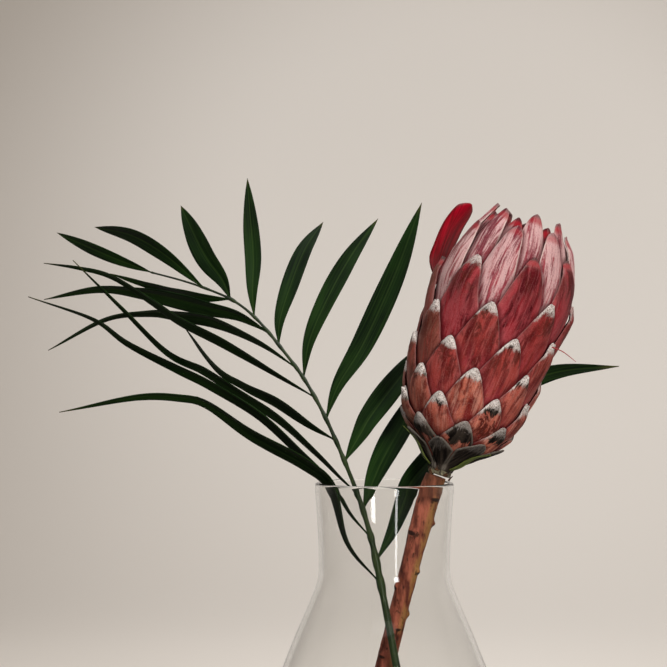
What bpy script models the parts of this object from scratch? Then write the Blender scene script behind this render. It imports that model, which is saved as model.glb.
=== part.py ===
"""A protea bloom and a parlour-palm frond standing in a clear glass vase.

Run with: blender --background --python part.py
Units are metres, +Z is up, the viewer looks along +Y, and the origin is the centre of the
vase's foot. Lengths written in millimetres are multiplied by MM.
"""

import math

import bmesh
import bpy
import numpy as np
from mathutils import Vector

MM = 0.001

# --- vase ---------------------------------------------------------------------------
NECK_WALL = 1.9
BODY_WALL = 2.6
FLOOR_THICKNESS = 5.0
FOOT_ROUND = 8.0  # radius of the rounded edge where the wall meets the flat foot
VASE_SEGMENTS = 32
VASE_LEVELS = 14
# Outer wall as (radius, height): belly, shoulder, neck and the slight flare of the lip.
VASE_WALL = [(54.2, 8), (54.4, 28), (53.2, 50), (49.8, 70), (43.4, 89), (36.8, 106), (30.6, 120.5),
             (27.2, 130), (26.7, 139), (27.2, 152), (28.2, 166)]
LIP_RADIUS = 1.1

# --- protea head, in its own frame: base at the origin, axis along +Z -----------------
HEAD_BASE = (22.6, 0.0, 174.0)
HEAD_LEAN = math.radians(18.5)  # towards +X
HEAD_BEND = 2.2  # how far the bud's upper half curves further towards +X, mm
# Radius of the closed bud at heights above its base, mm.
BUD_HEIGHTS = [0, 3.4, 8.4, 12, 15, 20.8, 30, 39, 49, 60, 70, 77, 86.6, 96, 101, 107, 112]
BUD_RADII = [3.8, 7.4, 12.4, 17.4, 20.8, 24.4, 26.7, 27.9, 28.5, 29.2, 29.7, 29.8, 27.7, 23.7, 20.8, 16, 12]

WHORLS = 9
BRACTS_PER_WHORL = 7
SEPARATE_WHORLS = 4  # whorls whose bracts are pieces of their own
SECTOR = 360 / BRACTS_PER_WHORL
FIRST_BRACT = -18.0  # azimuth of one bract of whorl 1; 0 faces the viewer, + is to the right
WHORL_TURN = 22.4  # each whorl is turned this much from the one below
TIP_HEIGHTS = [15.2, 23.2, 32.7, 44.2, 57, 72.5, 91, 103.5, 109.5]
TIP_TILT = [0.10, 0.13, 0.16, 0.19, 0.22, 0.25, 0.27, 0.12, 0.0]  # how much higher the right side's tips are
LAYER_PITCH = 1.46  # distance from one whorl's outer face to the next, inwards
BRACT_THICKNESS = 0.6
JOINED_COLUMNS = 4  # columns of points across each bract of a joined whorl
VALLEY_DEPTH = 20.0  # how far below its tip a joined whorl's bract meets the next
BRACT_MAX_ANGLE = 23.3  # half-width limit, degrees
# Heights at which every bract has a row of points, so that nested bracts bend together.
STATIONS = [2.5, 4, 6, 8.4, 11, 14, 17.5, 22, 29, 38, 49, 61, 73, 82, 89, 95, 100, 104, 107]
LOOSE_WHORL = 8
LOOSE_AZIMUTH = FIRST_BRACT + WHORL_TURN * (LOOSE_WHORL - 1) - 5 * SECTOR  # back left
LOOSE_RADIUS = 34.5
LOOSE_TIP = 107.0
LOOSE_TURN = 15.0  # how far its tip curves round the bud, degrees

RECEPTACLE_RADIUS = 5.4
RECEPTACLE = [(0, -1.2), (4.3, -1.2), (4.7, 0.5), (4.9, 2.5), (5.3, 6), (5.4, 9), (4.6, 12), (2.6, 13.8),
              (0, 14.2)]
FLORETS = [(0, 15.0), (2.6, 15.3), (5.2, 20), (8.4, 24.6), (11.2, 31), (14.2, 41), (18.4, 55), (20.4, 68),
           (19.8, 79), (16.8, 88), (11.5, 95), (5, 98.5), (0, 99)]
GREEN_LEAF_AZIMUTHS = [-72, 47, 165]

# --- stem: centre line and radius, mm ------------------------------------------------
STEM = [((-21, 3, 9.2), 3.8), ((-10, 3.5, 51), 3.8), ((0.4, 3.5, 94), 3.9), ((6.2, 2.4, 118), 3.8),
        ((11.4, 1.1, 139), 3.9), ((14.8, 0.5, 152), 4.4), ((18.4, 0.1, 165), 4.6), ((20.9, 0, 172.2), 4.2)]

# --- palm frond ------------------------------------------------------------------------
RACHIS = [((20, -7, 8.0), 2.0), ((13, -8, 50), 1.8), ((4.6, -8, 96), 1.6), ((-3.4, -4, 138), 1.25),
          ((-8, 0.5, 156), 1.0), ((-13.6, 4.5, 171.5), 0.85), ((-23.4, 14, 194), 0.75),
          ((-32.6, 24, 210.5), 0.7), ((-42.8, 34, 224), 0.65), ((-53.3, 46, 236), 0.6),
          ((-63.6, 58, 244), 0.55), ((-76, 70, 249.5), 0.5), ((-88, 83, 253.5), 0.45), ((-102, 96, 257.3), 0.4)]
LEAFLET_THICKNESS = 0.6
LEAFLET_ROWS = 9
RACHIS_GAP = 2.0  # from the rachis's surface to the start of a leaflet
# Each leaflet: points it passes through after the rachis, full width (mm), and the turn of its
# blade about its own line (0 shows its face to the viewer, 90 its edge).
RIGHT_LEAFLETS = [
    ([(-1.8, -1, 138.1), (3.6, 8, 149), (8.2, 12, 160), (12.6, 15.6, 170), (30, 32, 186), (50, 44, 203),
      (73, 48, 213), (101, 46, 216)], 14, 20),
    ([(-7.4, 1.2, 158.5), (-3.6, 9.5, 171), (1.5, 16, 181), (11, 28, 196), (25, 42, 217)], 14, 25),
    ([(-15.4, 8, 178), (-9.6, 14, 188.5), (-4.6, 20, 196.5), (8.6, 33, 213), (21.5, 48, 227.5)], 13, 20),
    ([(-23, 15.2, 195.5), (-18.6, 21, 208.5), (-7.9, 31, 226), (5.5, 46, 255), (17.5, 62, 286.5)], 13, 15),
    ([(-32, 24.6, 212), (-30.6, 32, 227), (-23.5, 42, 244), (-13.6, 56, 262.5), (-1.3, 72, 280)], 10.5, 20),
    ([(-42.4, 35, 226), (-43.2, 41, 236), (-38.8, 52, 251), (-33, 66, 266.5), (-25.3, 82, 279)], 10.5, 20),
    ([(-53.4, 47, 238), (-55.4, 54, 248.7), (-55.4, 66, 263.2), (-57.3, 80, 282), (-59, 92, 299)], 9.5, 15),
    ([(-64.4, 59, 246), (-69, 65, 253.5), (-77.4, 75, 265), (-88.8, 94, 287)], 12, 15),
    ([(-76.5, 71, 253), (-94, 86, 264), (-111.6, 105, 274.4), (-130.8, 130, 279.2)], 9, 20),
    ([(-103.5, 97.2, 258.2), (-123, 112, 265.5), (-149.5, 140, 277)], 7, 20),
]
LEFT_LEAFLETS = [
    ([(-1.4, -7.6, 129), (-14, -7.5, 145.5), (-20, -6.5, 168), (-31.2, -7.5, 178.5), (-53.7, -12, 191),
      (-70.7, -17, 202.3), (-81, -20, 205), (-98.7, -22, 205.2), (-129.2, -26, 199)], 13, 68),
    ([(-6, -2.6, 147.5), (-13.4, 1.5, 157), (-20.6, 4, 169), (-33.4, 5, 182), (-49.8, 4, 197.5),
      (-70, 2, 210), (-84, 4, 216.5), (-105, 10, 226.5), (-120, 15, 236.4), (-148, 25, 245.5)], 12, 68),
    ([(-11.8, 3.2, 164.5), (-17.4, 8.5, 171), (-27, 13, 181), (-42.6, 17, 195.5), (-58.9, 12, 206.5),
      (-73, 6, 215.5), (-87.7, -4, 223), (-106, -10, 241), (-125.2, -12, 259.5)], 11, 66),
    ([(-20.4, 10.6, 185.4), (-30.4, 16, 193), (-43.7, 24, 202.5), (-57.7, 31, 209), (-70, 40, 216),
      (-85.4, 62, 233.2)], 11, 66),
    ([(-29.8, 19.6, 203), (-44, 25.5, 213.5), (-67, 34, 227.3), (-85.6, 40, 236.5), (-96.2, 45, 243.4),
      (-115.2, 53, 254.6), (-130.6, 60, 258.7), (-147, 70, 260.8)], 11, 70),
    ([(-37.4, 27.6, 215.6), (-48.6, 34, 225), (-61.5, 42, 232), (-74.1, 49, 236.6), (-87.2, 55, 238.5),
      (-100.7, 61, 239.5), (-120.2, 69, 236.6), (-147, 85, 222.7)], 11, 64),
    ([(-48.6, 39, 231), (-61, 50, 238), (-74.6, 60, 241.5), (-88.1, 69, 245), (-105.8, 81, 248.5),
      (-127.3, 96, 250), (-152.5, 115, 245.6)], 11, 55),
    ([(-66, 59, 243.6), (-79.5, 67.5, 246.4), (-95, 82, 249.5), (-121, 102, 257)], 8, 50),
]


# --- helpers -----------------------------------------------------------------------------
def clear_scene():
    for obj in list(bpy.data.objects):
        bpy.data.objects.remove(obj, do_unlink=True)


def material(name, colour, roughness, transmission=0.0):
    found = bpy.data.materials.get(name)
    if found:
        return found
    made = bpy.data.materials.new(name)
    made.use_nodes = True
    shader = made.node_tree.nodes["Principled BSDF"]
    shader.inputs["Base Color"].default_value = (*colour, 1)
    shader.inputs["Roughness"].default_value = roughness
    shader.inputs["Metallic"].default_value = 0.0
    shader.inputs["Transmission Weight"].default_value = transmission
    return made


def glass():
    return material("clear_glass", (0.95, 0.97, 0.96), 0.03, 1.0)


def bract_material(whorl):
    """Brown-grey at the foot of the bud, then orange-red, then silvery pink at the top."""
    if whorl <= 1:
        return material("withered_bract", (0.10, 0.08, 0.07), 0.8)
    if whorl <= 4:
        return material("lower_bract", (0.50, 0.13, 0.08), 0.6)
    return material("upper_bract", (0.62, 0.18, 0.22), 0.55)


def put_in_scene(obj, finish, parent=None):
    bpy.context.scene.collection.objects.link(obj)
    obj.data.materials.append(finish)
    obj.parent = parent
    return obj


def mesh_object(name, bm, finish, parent=None):
    bmesh.ops.recalc_face_normals(bm, faces=bm.faces)
    mesh = bpy.data.meshes.new(name)
    bm.to_mesh(mesh)
    bm.free()
    mesh.shade_smooth()
    mesh.set_sharp_from_angle(angle=math.radians(50))
    return put_in_scene(bpy.data.objects.new(name, mesh), finish, parent)


def turned(name, profile, segments, finish, parent=None):
    """A solid of revolution about Z from (radius, height) points in millimetres, axis to axis."""
    bm = bmesh.new()
    points = [bm.verts.new((r * MM, 0, z * MM)) for r, z in profile]
    edges = [bm.edges.new(pair) for pair in zip(points, points[1:])]
    bmesh.ops.spin(bm, geom=points + edges, cent=(0, 0, 0), axis=(0, 0, 1), angle=math.tau, steps=segments,
                   use_merge=True)
    bmesh.ops.remove_doubles(bm, verts=bm.verts, dist=1e-6)
    return mesh_object(name, bm, finish, parent)


def sheet(name, rows, thickness, finish, parent=None, closed=False):
    """A closed shell from rows of points (mm): a grid of faces, thickened inwards by Solidify."""
    bm = bmesh.new()
    grid = [[bm.verts.new(Vector(p) * MM) for p in row] for row in rows]
    count = len(grid[0])
    for lower, upper in zip(grid, grid[1:]):
        for i in range(count if closed else count - 1):
            j = (i + 1) % count
            bm.faces.new((lower[i], lower[j], upper[j], upper[i]))
    mesh = bpy.data.meshes.new(name)
    bm.to_mesh(mesh)
    bm.free()
    mesh.shade_smooth()
    obj = put_in_scene(bpy.data.objects.new(name, mesh), finish, parent)
    solid = obj.modifiers.new("thickness", "SOLIDIFY")
    solid.thickness = thickness * MM
    solid.offset = -1
    return obj


def smooth_line(points, count):
    """count points, evenly spaced along a Catmull-Rom curve through the given ones."""
    pts = [Vector(p) for p in points]
    pts = [2 * pts[0] - pts[1], *pts, 2 * pts[-1] - pts[-2]]
    fine = []
    for a, b, c, d in zip(pts, pts[1:], pts[2:], pts[3:]):
        for step in range(12):
            t = step / 12
            fine.append(0.5 * (2 * b + (c - a) * t + (2 * a - 5 * b + 4 * c - d) * t**2
                               + (3 * b - a - 3 * c + d) * t**3))
    fine.append(pts[-2])
    lengths = np.cumsum([0] + [(q - p).length for p, q in zip(fine, fine[1:])])
    wanted = np.linspace(0, lengths[-1], count)
    axes = [np.interp(wanted, lengths, [p[i] for p in fine]) for i in range(len(pts[0]))]
    return [Vector(p) for p in zip(*axes)]


def tapered_rod(name, spine, count, sides_setting, finish):
    """A curve object through (centre, radius) points, with round section and filled ends."""
    line = smooth_line([(*centre, radius) for centre, radius in spine], count)
    curve = bpy.data.curves.new(name, "CURVE")
    curve.dimensions = "3D"
    curve.bevel_depth = MM
    curve.bevel_resolution = sides_setting
    curve.use_fill_caps = True
    spline = curve.splines.new("POLY")
    spline.points.add(len(line) - 1)
    for point, place in zip(spline.points, line):
        point.co = (*(Vector(place[:3]) * MM), 1)
        point.radius = place[3]
    return put_in_scene(bpy.data.objects.new(name, curve), finish)


# --- vase ------------------------------------------------------------------------------------
def quarter(radius, centre, start, steps=3):
    """Points of a quarter circle, anticlockwise from the angle start."""
    angles = [start + math.pi / 2 * i / steps for i in range(steps + 1)]
    return [(centre[0] + radius * math.cos(a), centre[1] + radius * math.sin(a)) for a in angles]


def wall_at(height):
    return BODY_WALL + (NECK_WALL - BODY_WALL) * min(1, height / 120)


def make_vase():
    wall = [(p.x, p.y) for p in smooth_line([(r, z, 0) for r, z in VASE_WALL], VASE_LEVELS)]
    foot_r, foot_z = wall[0]
    foot = quarter(FOOT_ROUND, (foot_r - FOOT_ROUND, foot_z), -math.pi / 2)
    lip_r, lip_z = wall[-1]
    lip_centre = (lip_r - LIP_RADIUS, lip_z + 2.4)
    lip = quarter(LIP_RADIUS, lip_centre, 0, 2) + quarter(LIP_RADIUS, lip_centre, math.pi / 2, 2)[1:]
    inside = [(r - wall_at(z), z) for r, z in reversed(wall[1:])]
    hollow_round = FOOT_ROUND - BODY_WALL
    corner = (foot_r - FOOT_ROUND, FLOOR_THICKNESS + hollow_round)
    floor = list(reversed(quarter(hollow_round, corner, -math.pi / 2)))
    profile = [(0, 0), *foot, *wall[1:], *lip, *inside, *floor, (0, FLOOR_THICKNESS)]
    turned("glass_vase", profile, VASE_SEGMENTS, glass())


# --- protea head ------------------------------------------------------------------------------
def bud_radius(height):
    near = [np.interp(height + step, BUD_HEIGHTS, BUD_RADII) for step in (-2, -1, 0, 1, 2)]
    return float(np.mean(near))


def bud_slope(height):
    """Angle of the bud's side from its axis, positive where it widens upwards."""
    return math.atan((bud_radius(height + 2.5) - bud_radius(height - 2.5)) / 5)


def whorl_azimuth(whorl, number):
    turn = FIRST_BRACT + WHORL_TURN * (whorl - 1) + SECTOR * number
    return (turn + 180) % 360 - 180


def tip_height(whorl, azimuth):
    nominal = TIP_HEIGHTS[whorl - 1]
    return nominal + TIP_TILT[whorl - 1] * bud_radius(nominal) * math.sin(math.radians(azimuth))


def layer_depth(whorl, height, azimuth):
    """How far a whorl's outer face lies under the bud: none at its tips, a pitch per whorl below."""
    tips = [0] + [tip_height(k, azimuth) for k in range(1, WHORLS + 1)]
    level = float(np.interp(height, tips, range(WHORLS + 1)))
    return LAYER_PITCH * (whorl - level)


def on_layer(whorl, height, azimuth, outwards=0.0):
    """(radius, height) of a whorl's outer face, measured square to the bud's surface."""
    slope = bud_slope(height)
    depth = layer_depth(whorl, height, azimuth) - outwards
    return bud_radius(height) - depth * math.cos(slope), height + depth * math.sin(slope)


def eased(value, low, high):
    """0 below low, 1 above high, smooth between."""
    share = min(1, max(0, (value - low) / (high - low)))
    return share * share * (3 - 2 * share)


def bend_at(height):
    return HEAD_BEND * eased(height, 35, 95)


def around(azimuth, radius, height):
    a = math.radians(azimuth)
    return (radius * math.sin(a) + bend_at(height), -radius * math.cos(a), height)


def base_height(whorl, azimuth=0.0):
    """Where a whorl's layer comes clear of the receptacle."""
    heights = np.arange(1.5, 20, 0.1)
    return float(next(h for h in heights if on_layer(whorl, h, azimuth)[0] > RECEPTACLE_RADIUS + 1.0))


def half_width(distance):
    """Half-width of a bract at a distance below its tip, mm: an ogive."""
    return 0.35 + 1.5 * max(distance, 0) ** 0.62


def bract_rows(whorl, tip):
    low = base_height(whorl)
    rows = [low] + [h for h in STATIONS if low + 0.8 < h < tip - 3.2]
    return rows + [tip - 2.6, tip - 0.9, tip]


def make_bract(whorl, number, head):
    azimuth = whorl_azimuth(whorl, number)
    tip = tip_height(whorl, azimuth)
    rows = []
    for height in bract_rows(whorl, tip):
        radius, level = on_layer(whorl, height, azimuth)
        spread = min(BRACT_MAX_ANGLE, math.degrees(half_width(tip - height) / radius))
        rows.append([around(azimuth + spread * c, radius, level) for c in (-1, -1 / 3, 1 / 3, 1)])
    sheet(f"bract_{whorl}_{number + 1}", rows, BRACT_THICKNESS, bract_material(whorl), head)


def joined_columns(whorl):
    """(azimuth, its blade's azimuth, offset from it) for each column of a joined whorl."""
    blades = [whorl_azimuth(whorl, n) for n in range(BRACTS_PER_WHORL)]
    if whorl == LOOSE_WHORL:
        blades = [LOOSE_AZIMUTH + SECTOR * n for n in range(1, BRACTS_PER_WHORL)]
    steps = [i / JOINED_COLUMNS - 0.5 for i in range(JOINED_COLUMNS)]
    columns = [(blade + SECTOR * t, blade, SECTOR * t) for blade in blades for t in steps]
    if whorl == LOOSE_WHORL:
        columns.append((blades[-1] + SECTOR / 2, blades[-1], SECTOR / 2))
    return columns


def make_joined_whorl(whorl, head):
    """A whorl whose bracts are joined at their sides: a crown of seven points, or six by the loose bract."""
    columns = joined_columns(whorl)
    tops = []
    for _, blade, offset in columns:
        tip = tip_height(whorl, blade)
        across = abs(math.radians(offset)) * bud_radius(tip - 8)
        tops.append(tip - min(VALLEY_DEPTH, (max(across - 0.35, 0) / 1.5) ** (1 / 0.62)))
    low = base_height(whorl)
    shared = [low] + [h for h in STATIONS if low + 0.8 < h < min(tops) - 3]
    rows = [[around(a, *on_layer(whorl, h, a)) for a, _, _ in columns] for h in shared]
    for share in (0.2, 0.4, 0.6, 0.8, 1.0):
        heights = [shared[-1] + (top - shared[-1]) * share for top in tops]
        rows.append([around(a, *on_layer(whorl, h, a)) for h, (a, _, _) in zip(heights, columns)])
    closed = whorl != LOOSE_WHORL
    sheet(f"bract_whorl_{whorl}", rows, BRACT_THICKNESS, bract_material(whorl), head, closed)


def make_loose_bract(head):
    """The red bract at the back left that has sprung away from the closed bud."""
    rows = []
    lower = [base_height(LOOSE_WHORL)] + [h for h in STATIONS if 9 < h < 78]
    for height in lower + [78, 81, 84, 87.5, 92, 97, 101, 104, 106.2, LOOSE_TIP]:
        radius, level = on_layer(LOOSE_WHORL, height, LOOSE_AZIMUTH)
        radius += (LOOSE_RADIUS - radius) * eased(height, 78, 91)
        azimuth = LOOSE_AZIMUTH - LOOSE_TURN * max(0, (height - 88) / (LOOSE_TIP - 88)) ** 2
        room = 5.6 + 4.4 * eased(height, 77, 90)
        spread = min(21, math.degrees(min(half_width(LOOSE_TIP - height), room) / radius))
        rows.append([around(azimuth + spread * c, radius, level) for c in (-1, -0.5, 0, 0.5, 1)])
    sheet("loose_red_bract", rows, BRACT_THICKNESS, material("red_bract", (0.55, 0.01, 0.03), 0.5), head)


def make_green_leaf(number, azimuth, head):
    """A narrow green leaf lying along the underside of the bud."""
    rows = []
    for height, half in ((2.2, 0.8), (4, 1.3), (7, 1.5), (10, 1.2), (13, 0.3)):
        radius, level = on_layer(1, height, azimuth, outwards=1.6)
        spread = math.degrees(half / radius)
        rows.append([around(azimuth + spread * c, radius, level) for c in (-1, 0, 1)])
    sheet(f"green_basal_leaf_{number}", rows, 0.5, material("green_leaf", (0.16, 0.25, 0.07), 0.6), head)


def make_protea():
    head = bpy.data.objects.new("flower_head", None)
    head.location = Vector(HEAD_BASE) * MM
    head.rotation_euler = (0, HEAD_LEAN, 0)
    bpy.context.scene.collection.objects.link(head)
    turned("receptacle", RECEPTACLE, 14, material("receptacle", (0.35, 0.36, 0.2), 0.7), head)
    florets = turned("floret_mass", FLORETS, 16, material("florets", (0.72, 0.55, 0.5), 0.8), head)
    for vertex in florets.data.vertices:
        vertex.co.x += bend_at(vertex.co.z / MM) * MM
    for whorl in range(1, WHORLS + 1):
        if whorl <= SEPARATE_WHORLS:
            for number in range(BRACTS_PER_WHORL):
                make_bract(whorl, number, head)
        else:
            make_joined_whorl(whorl, head)
    make_loose_bract(head)
    for number, azimuth in enumerate(GREEN_LEAF_AZIMUTHS, 1):
        make_green_leaf(number, azimuth, head)
    tapered_rod("protea_stem", STEM, 18, 4, material("protea_stem", (0.36, 0.12, 0.07), 0.6))


# --- palm frond --------------------------------------------------------------------------------
def leaflet_share(u):
    """Width of a leaflet at share u of its length, against its widest."""
    return max(u**0.55 * (1 - u) ** 0.8 / 0.4016, 0.12 * (1 - u), 0.045)


def clear_of_rachis(points):
    """The same points with the first moved out of the rachis, towards the second."""
    spine = smooth_line([(*centre, radius) for centre, radius in RACHIS], 240)
    first, second = Vector(points[0]), Vector(points[1])
    nearest = min(spine, key=lambda p: (Vector(p[:3]) - first).length)
    centre = Vector(nearest[:3])
    heading = (second - centre).normalized()
    return [centre + heading * (nearest[3] + RACHIS_GAP), *points[1:]]


def make_leaflet(name, points, width, roll):
    line = smooth_line(clear_of_rachis(points), LEAFLET_ROWS)
    away = Vector((0, 1, 0))
    rows = []
    for i, centre in enumerate(line):
        along = (line[min(i + 1, len(line) - 1)] - line[max(i - 1, 0)]).normalized()
        side = along.cross(away).normalized()
        depth = side.cross(along)
        across = side * math.cos(math.radians(roll)) + depth * math.sin(math.radians(roll))
        half = across * width / 2 * leaflet_share(i / (len(line) - 1))
        rows.append([centre - half, centre, centre + half])
    sheet(name, rows, LEAFLET_THICKNESS, material("palm_leaf", (0.02, 0.08, 0.02), 0.45))


def make_frond():
    tapered_rod("palm_rachis", RACHIS, 30, 2, material("palm_rachis", (0.06, 0.14, 0.04), 0.5))
    for side, leaflets in (("right", RIGHT_LEAFLETS), ("left", LEFT_LEAFLETS)):
        for number, (points, width, roll) in enumerate(leaflets, 1):
            make_leaflet(f"palm_leaflet_{side}_{number}", points, width, roll)


clear_scene()
make_vase()
make_protea()
make_frond()
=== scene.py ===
"""The looks of a protea bloom and a palm frond in a clear glass vase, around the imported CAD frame.

Lengths are in millimetres and are multiplied by MM where a mesh is made, except in the studio,
which is in metres. The bloom is built in its own frame, with its foot at the origin and its axis
along +Z, and is then leaned into place, as the CAD does.
"""

import math
import random

import bmesh
import bpy
import numpy as np
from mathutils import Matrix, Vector, noise


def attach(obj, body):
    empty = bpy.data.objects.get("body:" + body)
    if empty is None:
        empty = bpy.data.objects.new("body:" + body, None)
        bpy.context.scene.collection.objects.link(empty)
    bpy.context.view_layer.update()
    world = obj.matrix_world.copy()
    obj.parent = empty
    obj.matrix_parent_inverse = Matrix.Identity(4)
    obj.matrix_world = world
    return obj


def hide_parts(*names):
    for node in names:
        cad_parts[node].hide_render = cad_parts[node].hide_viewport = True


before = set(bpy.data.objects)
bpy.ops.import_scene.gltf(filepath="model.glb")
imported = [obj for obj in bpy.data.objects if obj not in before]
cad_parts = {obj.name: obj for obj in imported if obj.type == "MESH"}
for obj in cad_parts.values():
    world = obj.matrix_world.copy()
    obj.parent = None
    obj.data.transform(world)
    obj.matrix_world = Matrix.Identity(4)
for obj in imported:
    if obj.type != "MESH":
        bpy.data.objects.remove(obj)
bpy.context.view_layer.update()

MM = 0.001

# --- camera and studio ---
CAMERA_PLACE = (-20.7, -955.0, 230.0)
LENS = 126.8
SENSOR = 36.0
SUBJECT = (0.02, 0, 0.2)  # what most lamps point at
STAGE_SEGMENTS = 96
FLOOR_RADIUS, WALL_BEND, WALL_TOP = 0.9, 1.9, 2.4
FLOOR_DROP = 0.0002  # keeps the floor's surface off the vase's foot

# --- vase, as in the CAD ---
NECK_WALL, BODY_WALL, FLOOR_THICKNESS, FOOT_ROUND = 1.9, 2.6, 5.0, 8.0
VASE_WALL = [(54.2, 8), (54.4, 28), (53.2, 50), (49.8, 70), (43.4, 89), (36.8, 106), (30.6, 120.5),
             (27.2, 130), (26.7, 139), (27.2, 152), (28.2, 166)]
THIN_FROM = 120.0  # the height from which the wall is as thin as the neck's
LIP_RADIUS, LIP_RISE = 1.1, 2.4
VASE_SEGMENTS = 144

# --- bloom, as in the CAD ---
HEAD_BASE = (22.6, 0.0, 174.0)
HEAD_LEAN = math.radians(18.5)
HEAD_BEND = 2.2
BUD_HEIGHTS = [0, 3.4, 8.4, 12, 15, 20.8, 30, 39, 49, 60, 70, 77, 86.6, 96, 101, 107, 112]
BUD_RADII = [3.8, 7.4, 12.4, 17.4, 20.8, 24.4, 26.7, 27.9, 28.5, 29.2, 29.7, 29.8, 27.7, 23.7, 20.8, 16, 12]
BRACTS_PER_WHORL = 7
SECTOR = 360 / BRACTS_PER_WHORL
FIRST_BRACT = -18.0
WHORL_TURN = 22.4
# The height of each whorl's tips, and how much they tilt up to the right.
TIP_HEIGHTS = [15.2, 23.2, 32.7, 44.2, 57, 72.5, 91, 103.5, 109.5]
TIP_TILT = [0.10, 0.13, 0.16, 0.19, 0.22, 0.25, 0.27, 0.12, 0.0]
LAYER_PITCH = 1.46  # how much deeper each whorl lies than the one over it
SEPARATE_WHORLS = 4  # the lowest ones, with a CAD node for each bract
# The sprung bract, counted from 0 in its whorl.
LOOSE_WHORL, LOOSE_NUMBER = 8, 2
LOOSE_RADIUS, LOOSE_TIP, LOOSE_TURN = 34.5, 107.0, 15.0
RECEPTACLE_RADIUS = 5.4
COLLAR_RADIUS = 4.85

# --- bloom, finer than the CAD ---
INNER_WHORL = 10  # the innermost bracts, which the CAD leaves out
INNER_TIP = 107.5
BRACT_THICKNESS = 0.5
BRACT_ROWS, BRACT_COLUMNS = 48, 19
MAX_ANGLE = 24.0  # half the turn of the bud that a bract may cover, in degrees
RIGHT_NUDGE = 7.0  # degrees that the bracts on the right stand nearer the front
FLORET_COUNT = 190
FLORET_TURN = math.radians(137.508)
# How wide a bract of each whorl is against the outline that fits the lower ones.
SLENDER = [1.35, 1.12, 1.0, 1.0, 1.0, 0.98, 0.94, 0.86, 0.82, 0.8]
# Finish of each whorl: how much white felt, charring, browning, silver hairs, rust colour and bare red tip.
FINISH_VALUES = ("felt", "char", "brown", "silver", "warm", "ember")
FINISHES = [dict(zip(FINISH_VALUES, row)) for row in (
    (0.1, 2.2, 0.5, 0, 0.9, 0),
    (0.35, 0.5, 0.8, 0, 1, 0),
    (1, 0.3, 0.7, 0.02, 1, 0),
    (1, 0.14, 0.6, 0.02, 0.8, 0),
    (1, 0.08, 0.8, 0.02, 0.35, 0),
    (0.9, 0.04, 0.9, 0.02, 0.2, 0),
    (0.35, 0, 0.6, 0.06, 0.05, 0.5),
    (0, 0, 0.25, 0.82, 0, 0.5),
    (0, 0, 0.1, 0.85, 0, 0.7),
    (0, 0, 0, 0.7, 0, 0.8),
)]

# --- stem and frond, as in the CAD ---
STEM_RADIUS = 4.2
STEM = [((-21, 3, 9.2), 3.8), ((-10, 3.5, 51), 3.8), ((0.4, 3.5, 94), 3.9), ((6.2, 2.4, 118), 3.8),
        ((11.4, 1.1, 139), 3.9), ((14.8, 0.5, 152), 4.4), ((18.4, 0.1, 165), 4.6), ((20.9, 0, 172.2), 4.2)]
# Old leaf scars and buds on the stem: height, angle round it (0 faces the viewer), size.
STEM_SCARS = [(164.3, 32, 2.0), (149.3, -42, 2.2), (154, 95, 1.5), (134.3, 60, 1.6), (126.5, -70, 1.7),
              (116.4, 95, 1.8), (110.7, 20, 1.5), (98.5, -35, 1.6), (140, 180, 1.8), (80, 60, 1.7),
              (66, -60, 1.6), (47, 120, 1.7), (30, 10, 1.6)]
RACHIS = [((20, -7, 8.0), 2.0), ((13, -8, 50), 1.8), ((4.6, -8, 96), 1.6), ((-3.4, -4, 138), 1.25),
          ((-8, 0.5, 156), 1.0), ((-13.6, 4.5, 171.5), 0.85), ((-23.4, 14, 194), 0.75),
          ((-32.6, 24, 210.5), 0.7), ((-42.8, 34, 224), 0.65), ((-53.3, 46, 236), 0.6),
          ((-63.6, 58, 244), 0.55), ((-76, 70, 249.5), 0.5), ((-88, 83, 253.5), 0.45),
          ((-102, 96, 257.3), 0.4)]
# Each leaflet: the points of its midrib, its full width, and the turn of its blade about its own
# line (0 shows its face to the viewer, 90 its edge).
RIGHT_LEAFLETS = [
    ([(-1.8, -1, 138.1), (3.6, 8, 149), (8.2, 12, 160), (12.6, 15.6, 170), (30, 32, 186), (50, 44, 203),
      (73, 48, 213), (101, 46, 216)], 14, 20),
    ([(-7.4, 1.2, 158.5), (-3.6, 9.5, 171), (1.5, 16, 181), (11, 28, 196), (25, 42, 217)], 14, 25),
    ([(-15.4, 8, 178), (-9.6, 14, 188.5), (-4.6, 20, 196.5), (8.6, 33, 213), (21.5, 48, 227.5)], 13, 20),
    ([(-23, 15.2, 195.5), (-18.6, 21, 208.5), (-7.9, 31, 226), (5.5, 46, 255), (17.5, 62, 286.5)], 13, 15),
    ([(-32, 24.6, 212), (-30.6, 32, 227), (-23.5, 42, 244), (-13.6, 56, 262.5), (-1.3, 72, 280)], 10.5, 20),
    ([(-42.4, 35, 226), (-43.2, 41, 236), (-38.8, 52, 251), (-33, 66, 266.5), (-25.3, 82, 279)], 10.5, 20),
    ([(-53.4, 47, 238), (-55.4, 54, 248.7), (-55.4, 66, 263.2), (-57.3, 80, 282), (-59, 92, 299)], 9.5, 15),
    ([(-64.4, 59, 246), (-69, 65, 253.5), (-77.4, 75, 265), (-88.8, 94, 287)], 12, 15),
    ([(-76.5, 71, 253), (-94, 86, 264), (-111.6, 105, 274.4), (-130.8, 130, 279.2)], 9, 20),
    ([(-103.5, 97.2, 258.2), (-123, 112, 265.5), (-149.5, 140, 277)], 7, 20),
]
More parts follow.
